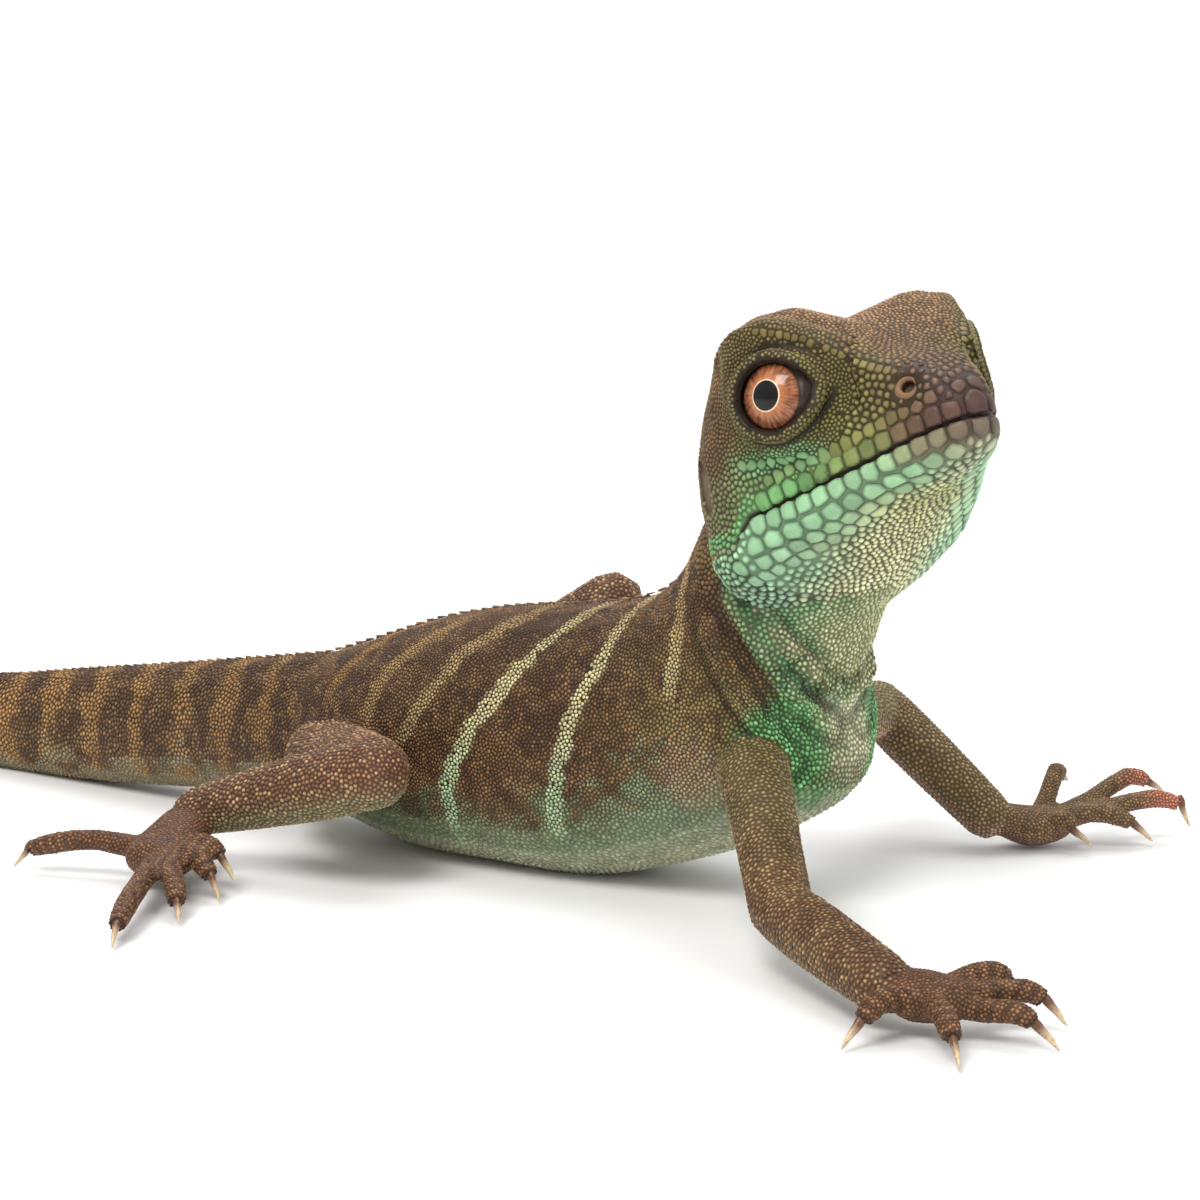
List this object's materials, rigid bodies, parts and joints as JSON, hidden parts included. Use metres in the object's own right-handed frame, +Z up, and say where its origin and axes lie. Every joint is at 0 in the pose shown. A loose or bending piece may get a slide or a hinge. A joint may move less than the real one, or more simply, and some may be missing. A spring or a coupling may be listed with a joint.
{
  "type": "chinese water dragon",
  "caption": "Life-size young water dragon model, belly and tail on the floor, head raised and turned, arms braced, long low-crested tail.",
  "frame": {"origin": "middle of the belly's flat on the floor, under the back's middle line", "axes": "+X forward along the trunk, +Y to the animal's left, +Z up; the floor is z = 0"},
  "size_m": [0.3735, 0.1096, 0.0613],
  "materials": {
    "head_skin": "satin",
    "green_skin": "satin",
    "brown_skin": "satin",
    "eye": "wet gloss",
    "claw_horn": "semi-gloss"
  },
  "bodies": {
    "root": {"head": "head_skin", "neck": "green_skin", "torso": "brown_skin", "tail_base": "brown_skin", "tail_middle": "brown_skin", "tail_rear": "brown_skin", "tail_tip": "brown_skin", "eye_right": "eye", "eye_left": "eye", "upper_arm_right": "brown_skin", "upper_arm_left": "brown_skin", "forearm_right": "brown_skin", "forearm_left": "brown_skin", "hand_right": "brown_skin", "hand_left": "brown_skin", "thigh_right": "brown_skin", "thigh_left": "brown_skin", "shank_right": "brown_skin", "shank_left": "brown_skin", "foot_right": "brown_skin", "foot_left": "brown_skin", "claw_hand_right_1": "claw_horn", "claw_hand_right_2": "claw_horn", "claw_hand_right_3": "claw_horn", "claw_hand_right_4": "claw_horn", "claw_hand_right_5": "claw_horn", "claw_hand_left_1": "claw_horn", "claw_hand_left_2": "claw_horn", "claw_hand_left_3": "claw_horn", "claw_hand_left_4": "claw_horn", "claw_hand_left_5": "claw_horn", "claw_foot_right_1": "claw_horn", "claw_foot_right_2": "claw_horn", "claw_foot_right_3": "claw_horn", "claw_foot_right_4": "claw_horn", "claw_foot_right_5": "claw_horn", "claw_foot_left_1": "claw_horn", "claw_foot_left_2": "claw_horn", "claw_foot_left_3": "claw_horn", "claw_foot_left_4": "claw_horn", "claw_foot_left_5": "claw_horn"}
  },
  "joints": []
}
